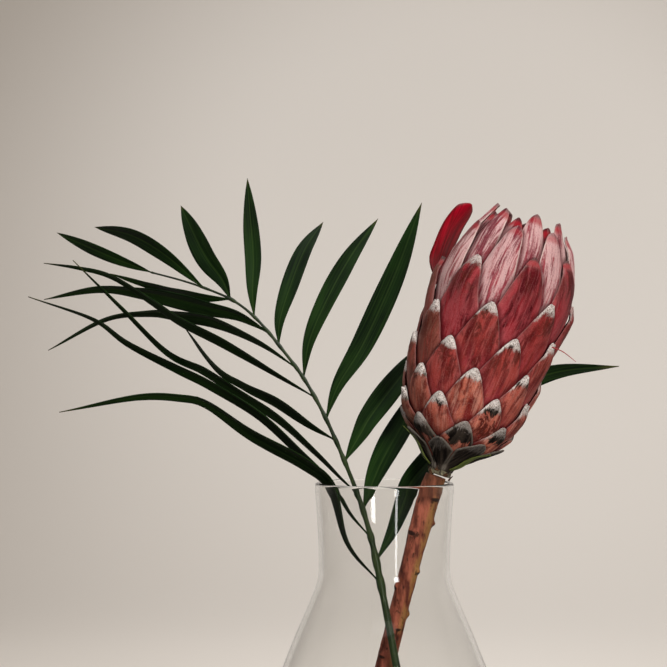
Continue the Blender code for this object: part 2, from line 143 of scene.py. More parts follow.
LEFT_LEAFLETS = [
    ([(-1.4, -7.6, 129), (-14, -7.5, 145.5), (-20, -6.5, 168), (-31.2, -7.5, 178.5), (-53.7, -12, 191),
      (-70.7, -17, 202.3), (-81, -20, 205), (-98.7, -22, 205.2), (-129.2, -26, 199)], 13, 68),
    ([(-6, -2.6, 147.5), (-13.4, 1.5, 157), (-20.6, 4, 169), (-33.4, 5, 182), (-49.8, 4, 197.5),
      (-70, 2, 210), (-84, 4, 216.5), (-105, 10, 226.5), (-120, 15, 236.4), (-148, 25, 245.5)], 12, 68),
    ([(-11.8, 3.2, 164.5), (-17.4, 8.5, 171), (-27, 13, 181), (-42.6, 17, 195.5), (-58.9, 12, 206.5),
      (-73, 6, 215.5), (-87.7, -4, 223), (-106, -10, 241), (-125.2, -12, 259.5)], 11, 66),
    ([(-20.4, 10.6, 185.4), (-30.4, 16, 193), (-43.7, 24, 202.5), (-57.7, 31, 209), (-70, 40, 216),
      (-85.4, 62, 233.2)], 11, 66),
    ([(-29.8, 19.6, 203), (-44, 25.5, 213.5), (-67, 34, 227.3), (-85.6, 40, 236.5), (-96.2, 45, 243.4),
      (-115.2, 53, 254.6), (-130.6, 60, 258.7), (-147, 70, 260.8)], 11, 70),
    ([(-37.4, 27.6, 215.6), (-48.6, 34, 225), (-61.5, 42, 232), (-74.1, 49, 236.6), (-87.2, 55, 238.5),
      (-100.7, 61, 239.5), (-120.2, 69, 236.6), (-147, 85, 222.7)], 11, 64),
    ([(-48.6, 39, 231), (-61, 50, 238), (-74.6, 60, 241.5), (-88.1, 69, 245), (-105.8, 81, 248.5),
      (-127.3, 96, 250), (-152.5, 115, 245.6)], 11, 55),
    ([(-66, 59, 243.6), (-79.5, 67.5, 246.4), (-95, 82, 249.5), (-121, 102, 257)], 8, 50),
]
LEAFLET_ROWS, LEAFLET_COLUMNS = 56, 11
LEAFLET_THICKNESS = 0.35
LEAFLET_FOLD = math.sin(math.radians(16))  # each half of the blade rises 16 degrees from the midrib
LEAFLET_TWIST = 14.0
# Against the widths above: how wide each side's leaflets are, and how much slimmer still toward their tips.
LEAFLET_BUILD = {"right": (0.8, 0.0), "left": (1.0, 0.45)}


# --- small tools ---
def srgb(red, green, blue):
    """A colour given as 0 to 255 display values, as the linear RGBA that shaders take."""
    def linear(value):
        value /= 255
        return value / 12.92 if value <= 0.04045 else ((value + 0.055) / 1.055) ** 2.4
    return (linear(red), linear(green), linear(blue), 1.0)


def ease(value, low, high):
    """0 at low, 1 at high, held outside them and smooth between; high may be the smaller."""
    share = np.clip((np.asarray(value, float) - low) / (high - low), 0, 1)
    return share * share * (3 - 2 * share)


def wobble(x, y, seed):
    """Smooth noise from -1 to 1, for numbers or grids of them."""
    x, y = np.broadcast_arrays(x, y)
    flat = [noise.noise(Vector((a, b, seed * 17.3 + 5.1))) for a, b in zip(x.ravel(), y.ravel())]
    return np.array(flat).reshape(x.shape)


def turned(profile, segments):
    """Rings of points: the (radius, height) profile turned about the Z axis."""
    profile = np.array(profile, float)
    angles = np.linspace(0, math.tau, segments, endpoint=False)
    r, z = profile[:, :1], profile[:, 1:]
    return np.stack([r * np.sin(angles), -r * np.cos(angles), z + 0 * angles], -1)


def grid_faces(index, closed=False):
    """Quads between neighbours in a grid of point numbers, whose last column may join its first."""
    if closed:
        index = np.concatenate([index, index[:, :1]], 1)
    return np.stack([index[:-1, :-1], index[:-1, 1:], index[1:, 1:], index[1:, :-1]], -1).reshape(-1, 4)


def border(index):
    """The point numbers round the outside of a grid, in order."""
    return np.concatenate([index[0, :], index[1:, -1], index[-1, -2::-1], index[-2:0:-1, 0]])


def smooth_line(points, count):
    """count points, evenly spaced along a Catmull-Rom curve through the given ones."""
    pts = [np.array(p, float) for p in points]
    pts = [2 * pts[0] - pts[1], *pts, 2 * pts[-1] - pts[-2]]
    fine = []
    for a, b, c, d in zip(pts, pts[1:], pts[2:], pts[3:]):
        for t in np.arange(0, 1, 1 / 16):
            fine.append(0.5 * (2 * b + (c - a) * t + (2 * a - 5 * b + 4 * c - d) * t**2
                               + (3 * b - a - 3 * c + d) * t**3))
    fine = np.array([*fine, pts[-2]])
    lengths = np.cumsum([0, *np.linalg.norm(np.diff(fine[:, :3], axis=0), axis=1)])
    wanted = np.linspace(0, lengths[-1], count)
    return np.stack([np.interp(wanted, lengths, fine[:, i]) for i in range(fine.shape[1])], 1)


def add_object(name, data):
    obj = bpy.data.objects.new(name, data)
    bpy.context.scene.collection.objects.link(obj)
    return obj


class Shape:
    """A mesh in the making: points in millimetres, faces, each face's material and named values per point."""

    def __init__(self):
        self.points, self.faces, self.finishes, self.values = [], [], [], {}
        self.count = 0

    def grid(self, points, finish=0, closed=False, flip=False, **values):
        """Adds a grid of points, shaped (rows, columns, 3), with faces between them."""
        rows, columns = points.shape[:2]
        index = self.count + np.arange(rows * columns).reshape(rows, columns)
        faces = grid_faces(index, closed)
        self.faces += (faces[:, ::-1] if flip else faces).tolist()
        self.finishes += [finish] * len(faces)
        self.points.append(points.reshape(-1, 3))
        for name, value in values.items():
            flat = np.broadcast_to(value, (rows, columns)).reshape(-1)
            self.values.setdefault(name, []).append((self.count, flat))
        self.count += rows * columns
        return index

    def shell(self, points, thickness, finish=0, **values):
        """A grid thickened to its back, with a rim: one closed sheet."""
        up = np.gradient(points, axis=0)
        across = np.gradient(points, axis=1)
        normal = np.cross(across, up)
        normal /= np.maximum(np.linalg.norm(normal, axis=2, keepdims=True), 1e-9)
        front = self.grid(points, finish, **values)
        back = self.grid(points - normal * thickness, finish, flip=True, **values)
        outer, inner = border(front), border(back)
        rim = np.stack([outer, inner, np.roll(inner, -1), np.roll(outer, -1)], 1)
        self.faces += rim.tolist()
        self.finishes += [finish] * len(rim)

    def tube(self, centres, radii, sides, finish=0, bumps=1.0, **values):
        """A round tube through the centres, closed at both ends by a point. bumps multiplies its radius."""
        centres = np.asarray(centres, float)
        along = np.gradient(centres, axis=0)
        along /= np.linalg.norm(along, axis=1, keepdims=True)
        front = np.array([0.0, -1.0, 0.0])
        side = np.cross(along, front)
        side /= np.linalg.norm(side, axis=1, keepdims=True)
        toward = np.cross(side, along)
        angles = np.linspace(0, math.tau, sides, endpoint=False)
        rings = toward[:, None] * np.cos(angles)[:, None] + side[:, None] * np.sin(angles)[:, None]
        radius = np.repeat(np.asarray(radii, float)[:, None], sides, 1) * bumps
        points = centres[:, None] + rings * radius[:, :, None]
        ends = [np.repeat(centre[None, None], sides, 1) for centre in (centres[0], centres[-1])]
        points = np.concatenate([ends[0], points, ends[1]])
        for name, value in values.items():
            value = np.broadcast_to(value, radius.shape)
            values[name] = np.concatenate([value[:1], value, value[-1:]])
        self.grid(points, finish, closed=True, **values)

    def piece(self, name, materials, replaces, place=None):
        """Makes the object, rides it on the one body and hides the CAD node that it stands for, if any."""
        points = np.concatenate(self.points)
        points = (place(points) if place else points) * MM
        mesh = bpy.data.meshes.new(name)
        mesh.from_pydata(points.tolist(), [], self.faces)
        for value_name, parts in self.values.items():
            whole = np.zeros(self.count, np.float32)
            for start, flat in parts:
                whole[start:start + len(flat)] = flat
            mesh.attributes.new(value_name, "FLOAT", "POINT").data.foreach_set("value", whole)
        for material in materials:
            mesh.materials.append(material)
        mesh.polygons.foreach_set("material_index", np.array(self.finishes, np.int32))
        mesh.validate()
        merge_close(mesh)
        mesh.shade_smooth()
        obj = add_object(name, mesh)
        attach(obj, "root")
        if replaces:
            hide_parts(replaces)


def merge_close(mesh):
    """Joins points that lie on each other, as at a tube's ends and a blade's tip."""
    bm = bmesh.new()
    bm.from_mesh(mesh)
    bmesh.ops.remove_doubles(bm, verts=bm.verts, dist=2e-6)
    bmesh.ops.recalc_face_normals(bm, faces=bm.faces)
    bm.to_mesh(mesh)
    bm.free()


# --- materials ---
class Nodes:
    """A node tree built by short calls that return sockets. A tuple given for a colour is 0 to 255."""

    def __init__(self, tree):
        self.tree = tree

    def put(self, socket, value):
        if isinstance(value, bpy.types.NodeSocket):
            self.tree.links.new(value, socket)
        else:
            socket.default_value = value

    def node(self, kind, **inputs):
        node = self.tree.nodes.new("ShaderNode" + kind)
        for name, value in inputs.items():
            self.put(node.inputs[name], value)
        return node

    def value(self, name):
        """A value that the mesh holds at each point."""
        node = self.node("Attribute")
        node.attribute_name = name
        return node.outputs["Fac"]

    def ray(self, name):
        """What the Light Path node says of a ray."""
        return self.node("LightPath").outputs[name]

    def calc(self, operation, a, b=0.0, clamp=False):
        node = self.node("Math")
        node.operation, node.use_clamp = operation, clamp
        self.put(node.inputs[0], a)
        self.put(node.inputs[1], b)
        return node.outputs[0]

    def plus(self, a, b):
        return self.calc("ADD", a, b)

    def minus(self, a, b, clamp=False):
        return self.calc("SUBTRACT", a, b, clamp)

    def times(self, a, b, clamp=False):
        return self.calc("MULTIPLY", a, b, clamp)

    def sway(self, value, amount):
        """Noise of 0 to 1 as a push of up to half the amount either way."""
        return self.times(self.minus(value, 0.5), amount)

    def ramp(self, value, low, high, start=0.0, end=1.0):
        """start below low, end above high, smooth between."""
        node = self.node("MapRange")
        node.interpolation_type = "SMOOTHSTEP"
        for socket, given in zip(node.inputs, (value, low, high, start, end)):
            self.put(socket, given)
        return node.outputs[0]

    def vector(self, x, y, z):
        return self.node("CombineXYZ", X=x, Y=y, Z=z).outputs[0]

    def place(self):
        """Where a point is, in millimetres."""
        spot = self.node("TexCoord").outputs["Object"]
        return self.node("Mapping", Scale=(1000, 1000, 1000), Vector=spot).outputs[0]

    def noise(self, vector, scale=(1, 1, 1), detail=2.0, roughness=0.5, distortion=0.0):
        spot = self.node("Mapping", Scale=scale, Vector=vector).outputs[0]
        node = self.node("TexNoise", Scale=1.0, Detail=detail, Roughness=roughness, Distortion=distortion,
                         Vector=spot)
        return node.outputs["Fac"]

    def mix(self, factor, *colours):
        node = self.node("Mix", Factor=factor)
        node.data_type = "RGBA"
        for socket, colour in zip((s for s in node.inputs if s.type == "RGBA"), colours):
            self.put(socket, srgb(*colour) if isinstance(colour, tuple) else colour)
        return next(s for s in node.outputs if s.type == "RGBA")


class Finish(Nodes):
    """A material on a Principled shader."""

    def __init__(self, name, roughness=0.5, specular=0.5, sheen=0.0):
        self.material = bpy.data.materials.new(name)
        self.material.use_nodes = True
        super().__init__(self.material.node_tree)
        self.skin = self.tree.nodes["Principled BSDF"]
        self.skin.inputs["Roughness"].default_value = roughness
        self.skin.inputs["Specular IOR Level"].default_value = specular
        self.skin.inputs["Sheen Weight"].default_value = sheen

    def colour(self, value):
        self.put(self.skin.inputs["Base Color"], value)

    def rough(self, value):
        self.put(self.skin.inputs["Roughness"], value)

    def bump(self, height, strength, distance_mm):
        node = self.node("Bump", Strength=strength, Distance=distance_mm * MM, Height=height)
        self.put(self.skin.inputs["Normal"], node.outputs[0])


def bract_skin():
    """Leathery bract: crimson to rust flesh, silver streaks, brown bruises, char and a felted tip."""
    f = Finish("bract_skin", specular=0.12)
    below, edge, side, seed, cover = (f.value(n) for n in ("below_tip", "from_edge", "side", "seed", "cover"))
    felt, char, brown, silver, warm, ember, tan = (
        f.value(n) for n in ("felt", "char", "brown", "silver", "warm", "ember", "tan"))
    place = f.vector(side, below, f.times(seed, 60))
    fibre = f.noise(place, (5, 0.25, 1), 3, 0.6)
    streak = f.noise(place, (0.85, 0.07, 1), 4, 0.62, 0.5)
    broad = f.noise(place, (0.24, 0.05, 1), 2, 0.5, 0.4)
    patch = f.noise(place, (0.34, 0.13, 1), 5, 0.68, 0.9)
    speck = f.noise(place, (2.2, 1.4, 1), 4, 0.75)
    grain = f.noise(place, (3.4, 1.8, 1), 3, 0.7)

    flesh = f.mix(f.ramp(broad, 0.38, 0.62), (76, 3, 12), (150, 12, 32))
    flesh = f.mix(f.ramp(streak, 0.48, 0.64, 0, 0.4), flesh, (182, 46, 60))
    rust = f.mix(f.ramp(broad, 0.36, 0.64), (124, 34, 26), (204, 112, 88))
    rust = f.mix(f.ramp(patch, 0.52, 0.66, 0, 0.9), rust, (122, 24, 26))
    rust = f.mix(f.ramp(streak, 0.5, 0.62, 0, 0.6), rust, (216, 150, 128))
    rust = f.mix(f.ramp(speck, 0.52, 0.66, 0, 0.45), rust, (206, 158, 142))
    flesh = f.mix(warm, flesh, rust)
    # Pink and powdery low down and toward the margins.
    margin = f.plus(edge, f.sway(streak, 9))
    powder = f.times(f.ramp(margin, 2.8, 0.4), f.ramp(below, 5, 20, 0, 0.5))
    flesh = f.mix(powder, flesh, (210, 106, 106))
    blush = f.times(f.ramp(below, 12, 28, 0, 0.6), f.ramp(patch, 0.4, 0.6))
    flesh = f.mix(blush, flesh, (196, 74, 82))
    flesh = f.mix(f.times(tan, f.ramp(streak, 0.3, 0.6, 0.45, 0.9)), flesh, (122, 84, 64))
    # A red margin, thin as a line.
    flesh = f.mix(f.ramp(edge, 0.8, 0.2, 0, 0.5), flesh, (112, 14, 26))
    # Brown bruises, mostly under the tip.
    bruise = f.times(f.ramp(patch, 0.47, 0.58), f.ramp(below, 24, 6, 0.2, 1))
    bruise = f.times(bruise, brown, clamp=True)
    flesh = f.mix(bruise, flesh, f.mix(fibre, (52, 12, 12), (116, 44, 26)))
    # Silver-white hairs lying along the bract, and its pale outline.
    bands = f.plus(f.times(broad, 0.25), f.times(streak, 0.6))
    lines = f.ramp(f.plus(bands, f.times(grain, 0.15)), 0.43, 0.55)
    flesh = f.mix(f.times(silver, 0.4), flesh, (190, 96, 110))
    hairs = f.times(f.times(lines, silver), 0.88, clamp=True)
    flesh = f.mix(hairs, flesh, (236, 198, 194))
    outline = f.times(f.ramp(edge, 0.6, 0.25), f.ramp(silver, 0, 0.5, 0.1, 0.9))
    flesh = f.mix(outline, flesh, (226, 196, 188))
    # Small pale flecks.
    flesh = f.mix(f.ramp(grain, 0.58, 0.70, 0, 0.3), flesh, (214, 130, 122))
    flesh = f.mix(f.ramp(grain, 0.5, 0.34, 0, 0.35), flesh, (70, 10, 16))
    # Painted shade: deep red close to the edges of the bracts that lie over it.
    flesh = f.mix(f.ramp(cover, 2.6, 0, 0, 0.65), flesh, (78, 10, 18))
    # A bare red tip on some of the upper ones.
    tip_end = f.mix(f.ramp(below, 0.6, 2.2), (70, 8, 16), (164, 14, 30))
    flesh = f.mix(f.times(f.ramp(below, 4.6, 2.6), ember, clamp=True), flesh, tip_end)
    # Charring down from the tip, with a silvery edge.
    reach = f.plus(f.times(char, 14), f.sway(patch, 22))
    charred = f.times(f.ramp(f.minus(reach, below), -1, 1), f.ramp(char, 0.02, 0.1))
    soot = f.mix(f.ramp(streak, 0.38, 0.62), (20, 15, 13), (58, 50, 43))
    soot = f.mix(f.ramp(patch, 0.42, 0.3, 0, 0.7), soot, (150, 140, 128))
    soot = f.mix(f.ramp(edge, 1.2, 0.2, 0, 0.5), soot, (140, 130, 118))
    soot = f.mix(f.ramp(speck, 0.62, 0.7, 0, 0.6), soot, (150, 138, 124))
    flesh = f.mix(charred, flesh, soot)
    # White felt: a cap on the tip and a ragged band along its margins, with dark specks rubbed through.
    fray = f.plus(f.sway(speck, 9), f.sway(patch, 7))
    cap = f.ramp(f.plus(below, fray), 4.6, 3.2)
    shoulder = f.plus(f.plus(below, f.times(side, 0.4)), fray)
    band = f.times(f.ramp(f.plus(edge, f.times(fray, 0.3)), 1.3, 0.5), f.ramp(shoulder, 6.5, 3.5))
    white = f.times(f.calc("MAXIMUM", cap, band), felt, clamp=True)
    wool = f.mix(f.ramp(speck, 0.36, 0.58), (140, 120, 110), (240, 230, 222))
    rubbed = f.times(f.ramp(patch, 0.56, 0.6), f.ramp(below, 1.5, 3.5))
    wool = f.mix(f.times(rubbed, f.ramp(char, 0, 0.05)), wool, (30, 20, 18))
    f.colour(f.mix(white, flesh, wool))
    f.rough(f.ramp(f.calc("MAXIMUM", white, charred), 0, 1, 0.5, 0.85))
    height = f.plus(f.times(fibre, 0.5), f.times(streak, 0.9))
    height = f.plus(height, f.times(speck, f.plus(f.times(white, 0.9), 0.2)))
    f.bump(height, 0.55, 0.5)
    return f.material


def felt_wool():
    f = Finish("bract_felt", 0.95, sheen=0.5)
    clumps = f.noise(f.place(), (2.4, 2.4, 2.4), 4, 0.7)
    f.colour(f.mix(f.ramp(clumps, 0.35, 0.62), (136, 118, 110), (240, 230, 222)))
    f.bump(clumps, 0.8, 0.4)
    return f.material


def red_skin():
    """The sprung bract: its smooth inner face is a clear, even red."""
    f = Finish("loose_bract_skin", 0.42, specular=0.12)
    place = f.vector(f.value("side"), f.value("below_tip"), 3)
    streak = f.noise(place, (1, 0.04, 1), 4, 0.6)
    patch = f.noise(place, (0.3, 0.1, 1), 4, 0.6)
    body = f.mix(f.ramp(streak, 0.38, 0.66), (132, 4, 24), (186, 12, 38))
    body = f.mix(f.ramp(patch, 0.56, 0.68, 0, 0.5), body, (112, 26, 20))
    body = f.mix(f.ramp(f.value("from_edge"), 1, 0.2, 0, 0.7), body, (84, 4, 12))
    f.colour(body)
    f.bump(streak, 0.4, 0.4)
    return f.material


def stem_bark():
    f = Finish("protea_bark", 0.6, specular=0.2)
    around, along, scar = f.value("around"), f.value("along"), f.value("scar")
    place = f.place()
    coarse = f.noise(place, (0.35, 0.35, 0.09), 4, 0.6)
    fine = f.noise(place, (2.2, 2.2, 0.28), 4, 0.65)
    speck = f.noise(place, (1.7, 1.7, 1), 3, 0.7)
    bark = f.mix(f.ramp(coarse, 0.35, 0.65), (92, 42, 30), (180, 98, 76))
    facing = f.ramp(f.calc("COSINE", f.minus(around, 0.95)), 0.62, 0.98)
    olive = f.times(facing, f.ramp(coarse, 0.4, 0.6, 0, 0.75))
    bark = f.mix(olive, bark, (150, 116, 58))
    blotch = f.noise(place, (0.5, 0.5, 0.2), 3, 0.6)
    bark = f.mix(f.ramp(blotch, 0.58, 0.66, 0, 0.85), bark, (46, 26, 14))
    bark = f.mix(f.ramp(fine, 0.55, 0.72, 0, 0.42), bark, (66, 28, 20))
    bark = f.mix(f.ramp(speck, 0.66, 0.74, 0, 0.5), bark, (160, 108, 80))
    bark = f.mix(f.ramp(speck, 0.30, 0.24, 0, 0.6), bark, (36, 20, 14))
    bark = f.mix(f.ramp(along, 0.9, 1, 0, 0.5), bark, (92, 66, 46))
    bark = f.mix(f.ramp(scar, 0.25, 0.6, 0, 0.9), bark, (26, 16, 12))
    f.colour(bark)
    f.rough(f.ramp(fine, 0.3, 0.7, 0.48, 0.72))
    f.bump(f.plus(fine, f.times(speck, 0.5)), 0.5, 0.5)
    return f.material


def leaf_skin():
    f = Finish("palm_leaf_skin", specular=0.07)
    side, along, seed, share = (f.value(n) for n in ("side", "along", "seed", "share"))
    place = f.vector(side, along, f.times(seed, 60))
    veins = f.noise(place, (3.2, 0.02, 1), 2, 0.5)
    broad = f.noise(place, (0.12, 0.03, 1), 3, 0.5)
    leaf = f.mix(f.ramp(broad, 0.35, 0.7), (10, 24, 8), (24, 48, 14))
    leaf = f.mix(f.ramp(veins, 0.45, 0.65, 0, 0.35), leaf, (48, 70, 30))
    leaf = f.mix(f.ramp(f.calc("ABSOLUTE", side), 0.5, 0.15, 0, 0.25), leaf, (66, 88, 40))
    leaf = f.mix(f.ramp(share, 0.93, 1, 0, 0.7), leaf, (84, 78, 44))
    f.colour(leaf)
    f.rough(f.ramp(veins, 0.3, 0.7, 0.48, 0.6))
    f.bump(veins, 0.35, 0.25)
    return f.material


def rachis_skin():
    f = Finish("palm_rachis_skin", 0.45)
    place = f.place()
    streak = f.noise(place, (1.6, 1.6, 0.12), 3, 0.6)
    broad = f.noise(place, (0.12, 0.12, 0.05), 3, 0.5)
    body = f.mix(f.ramp(broad, 0.35, 0.65), (22, 36, 14), (44, 58, 26))
    f.colour(f.mix(f.ramp(streak, 0.5, 0.7, 0, 0.4), body, (82, 90, 50)))
    f.bump(streak, 0.3, 0.3)
    return f.material


def green_skin():
    f = Finish("basal_leaf_skin", 0.5)
    place = f.vector(f.value("side"), f.value("along"), 1)
    streak = f.noise(place, (3, 0.15, 1), 3, 0.6)
    f.colour(f.mix(f.ramp(streak, 0.35, 0.65), (58, 72, 24), (124, 134, 62)))
    f.bump(streak, 0.4, 0.3)
    return f.material


def receptacle_skin():
    f = Finish("receptacle_skin", 0.7)
    place = f.place()
    streak = f.noise(place, (0.9, 0.9, 0.25), 4, 0.65)
    speck = f.noise(place, (1.8, 1.8, 1.8), 3, 0.7)
    body = f.mix(f.ramp(streak, 0.35, 0.65), (54, 46, 38), (140, 132, 104))
    f.colour(f.mix(f.ramp(speck, 0.6, 0.7, 0, 0.7), body, (30, 22, 18)))
    f.bump(f.plus(streak, speck), 0.5, 0.5)
    return f.material


def scale_skin():
    f = Finish("collar_scale_skin", 0.8)
    speck = f.noise(f.place(), (1.5, 1.5, 1.5), 4, 0.7)
    f.colour(f.mix(f.ramp(speck, 0.35, 0.65), (36, 24, 18), (104, 70, 46)))
    f.bump(speck, 0.6, 0.4)
    return f.material


def floret_skin():
    """Pale pink and hairy, darkening to plum at the tips."""
    f = Finish("floret_skin", 0.85, sheen=0.4)
    streak = f.noise(f.place(), (2.5, 2.5, 0.4), 3, 0.6)
    body = f.mix(f.ramp(streak, 0.35, 0.65), (170, 116, 106), (220, 190, 178))
    f.colour(f.mix(f.ramp(f.value("along"), 0.55, 0.9), body, (70, 28, 40)))
    f.bump(streak, 0.5, 0.4)
    return f.material


def clear_glass():
    """Clear glass that lets lamplight through to what stands in it."""
    f = Finish("vase_clear_glass", 0)
    f.skin.inputs["Base Color"].default_value = srgb(253, 253, 252)
    f.skin.inputs["Transmission Weight"].default_value = 1
    f.skin.inputs["IOR"].default_value = 1.47
    clear = f.node("BsdfTransparent", Color=srgb(250, 252, 251))
    mixed = f.node("MixShader", Fac=f.ray("Is Shadow Ray"))
    f.put(mixed.inputs[1], f.skin.outputs[0])
    f.put(mixed.inputs[2], clear.outputs[0])
    f.put(f.tree.nodes["Material Output"].inputs["Surface"], mixed.outputs[0])
    return f.material


# --- vase ---
def quarter(radius, centre, start, steps=12):
    """Points of a quarter circle, anticlockwise from the angle start."""
    angles = [start + math.pi / 2 * i / steps for i in range(steps + 1)]
    return [(centre[0] + radius * math.cos(a), centre[1] + radius * math.sin(a)) for a in angles]


def wall_thickness(height):
    return BODY_WALL + (NECK_WALL - BODY_WALL) * min(1, height / THIN_FROM)


def make_vase():
    wall = [tuple(p) for p in smooth_line(VASE_WALL, 90)]
    foot_r, foot_z = wall[0]
    foot = quarter(FOOT_ROUND, (foot_r - FOOT_ROUND, foot_z), -math.pi / 2)
    lip_r, lip_z = wall[-1]
    lip_centre = (lip_r - LIP_RADIUS, lip_z + LIP_RISE)
    lip = quarter(LIP_RADIUS, lip_centre, 0) + quarter(LIP_RADIUS, lip_centre, math.pi / 2)[1:]
    inside = [(r - wall_thickness(z), z) for r, z in reversed(wall[1:])]
    hollow_round = FOOT_ROUND - BODY_WALL
    corner = (foot_r - FOOT_ROUND, FLOOR_THICKNESS + hollow_round)
    floor = reversed(quarter(hollow_round, corner, -math.pi / 2))
    profile = [(0, 0), *foot, *wall[1:], *lip, *inside, *floor, (0, FLOOR_THICKNESS)]
    shape = Shape()
    shape.grid(turned(profile, VASE_SEGMENTS), closed=True)
    shape.piece("vase", [clear_glass()], "glass_vase")


# --- bloom ---
def in_bloom(points):
    """Points of the bloom's own frame, bent a little to the right higher up and leaned into place."""
    x, y, z = points.T
    x = x + HEAD_BEND * ease(z, 35, 95)
    c, s = math.cos(HEAD_LEAN), math.sin(HEAD_LEAN)
    return np.stack([c * x + s * z, y, c * z - s * x], 1) + np.array(HEAD_BASE)


def bud_radius(height):
    near = [np.interp(height + step, BUD_HEIGHTS, BUD_RADII) for step in (-2, -1, 0, 1, 2)]
    return np.mean(near, axis=0)


def bud_slope(height):
    return np.arctan((bud_radius(height + 2.5) - bud_radius(height - 2.5)) / 5)


def whorl_azimuth(whorl, number):
    """Azimuth of a bract in degrees: 0 faces the viewer and 90 is on the right."""
    turn = FIRST_BRACT + WHORL_TURN * (whorl - 1) + SECTOR * number
    turn = (turn + 180) % 360 - 180
    return turn - RIGHT_NUDGE * float(ease(turn, 20, 60) * ease(turn, 135, 80))


def tip_height(whorl, azimuth):
    if whorl == INNER_WHORL:
        return INNER_TIP + 0 * azimuth
    nominal = TIP_HEIGHTS[whorl - 1]
    return nominal + TIP_TILT[whorl - 1] * bud_radius(nominal) * np.sin(np.radians(azimuth))


def on_layer(whorl, height, azimuth, outwards=0.0):
    """(radius, height) of a whorl's outer face, measured square to the bud's surface."""
    tips = [0] + [tip_height(k, azimuth) for k in range(1, len(TIP_HEIGHTS) + 1)]
    level = sum(np.clip((height - low) / (high - low), 0, 1) for low, high in zip(tips, tips[1:]))
    slope = bud_slope(height)
    depth = LAYER_PITCH * (whorl - level) - outwards
    return bud_radius(height) - depth * np.cos(slope), height + depth * np.sin(slope)


def around(azimuth, radius, height):
    """Points at azimuths in degrees, radii and heights."""
    a = np.radians(azimuth)
    return np.stack(np.broadcast_arrays(radius * np.sin(a), -radius * np.cos(a), height), -1)


def base_height(whorl):
    """The lowest height at which a whorl's layer is clear of the receptacle."""
    heights = np.arange(1.5, 22, 0.1)
    clear = on_layer(whorl, heights, 0.0)[0] > RECEPTACLE_RADIUS + 1.0
    return float(heights[clear][0])


def half_width(distance, whorl):
    """Half-width of a bract at a distance below its tip: an ogive, or a blunter strap at the top."""
    distance = np.maximum(distance, 0)
    ogive = 0.25 + 1.56 * distance**0.62
    strap = 0.7 + 1.75 * distance**0.5
    share = float(ease(whorl, 6.4, 8))
    return ogive * (1 - share) + strap * share


def distance_from_cover(whorl, azimuth, height):
    """How far points are from the nearest edge of a bract that lies over this whorl; 0 or less under one."""
    nearest = np.full(np.broadcast(azimuth, height).shape, 30.0)
    for other in range(max(1, whorl - 3), whorl):
        for number in range(BRACTS_PER_WHORL):
            middle = whorl_azimuth(other, number)
            tip = tip_height(other, middle)
            radius = bud_radius(height)
            across = np.abs(np.radians((azimuth - middle + 180) % 360 - 180)) * radius
            half = np.minimum(half_width(tip - height, other), math.radians(MAX_ANGLE) * radius)
            gap = np.where(height < tip, across - half, np.hypot(across, height - tip))
            nearest = np.minimum(nearest, gap)
    return nearest


def bract_grid(whorl, number, seed):
    """One bract's outer face, and the distances on it that its skin is painted by."""
    azimuth = whorl_azimuth(whorl, number)
    rng = random.Random(whorl * 100 + number)
    loose = (whorl, number) == (LOOSE_WHORL, LOOSE_NUMBER)
    low = 0.2 if whorl == 1 else base_height(whorl)
    tip = LOOSE_TIP if loose else tip_height(whorl, azimuth) + rng.uniform(-0.9, 0.9)
    shares = np.linspace(0, 1, BRACT_ROWS)[:, None]
    heights = low + (tip - low) * (1 - (1 - shares) ** 1.7)
    across = np.sin(np.linspace(-math.pi / 2, math.pi / 2, BRACT_COLUMNS))[None]
    distance = tip - heights
    plain = np.maximum(on_layer(whorl, heights, azimuth)[0], COLLAR_RADIUS + 0.05)
    half = half_width(distance, whorl) * SLENDER[whorl - 1] * rng.uniform(0.96, 1.04)
    half = half * (1 + 0.06 * wobble(heights * 0.12, 0 * heights, seed))
    half = np.minimum(half, math.radians(MAX_ANGLE) * plain)
    drift = rng.uniform(-0.8, 0.8) * ease(distance, 14, 0)
    if loose:
        half = np.minimum(half, 4.6 + 5.6 * ease(heights, 70, 83))
        drift = -plain * np.radians(LOOSE_TURN) * np.maximum(0, (heights - 88) / (LOOSE_TIP - 88)) ** 2
    where = azimuth + np.degrees((half * across + drift) / plain)
    showing = tip - TIP_HEIGHTS[max(0, whorl - 3)] if whorl > 2 else tip
    shown = ease(distance, showing + 10, showing * 0.45)  # 1 where no lower bract covers it
    swell = (1.25 if whorl > 1 else 0.7) * (1 - across**2) ** 0.8 * shown
    press = -0.3 * np.abs(across) ** 6 * ease(distance, 2, 10)
    right = float(ease(azimuth, 45, 70) * ease(azimuth, 150, 120))
    flare = -(1.0 * (1 < whorl < 8) + 1.3 * right * (whorl > 1)) * ease(distance, 7, 0)
    hood = 0.45 * FINISHES[whorl - 1]["felt"] * ease(distance, 5.5, 1) * (1 - 0.3 * across**2)
    ripple = 0.22 * wobble(heights * 0.2, across * 1.7, seed) + 0.12 * wobble(heights * 0.5, across * 4, seed)
    radius, level = on_layer(whorl, heights, where, swell + press + flare + hood + ripple * shown)
    if whorl == 1:
        radius = np.maximum(radius, COLLAR_RADIUS + 0.35 * heights)
    if loose:
        radius = radius + (LOOSE_RADIUS - 1.6 * (1 - across**2) - radius) * ease(heights, 68, 84)
    edge = half * (1 - np.abs(across))
    cover = distance_from_cover(whorl, where, level)
    values = dict(below_tip=distance, from_edge=edge, side=half * across, cover=cover, seed=seed)
    return around(where, radius, level), values


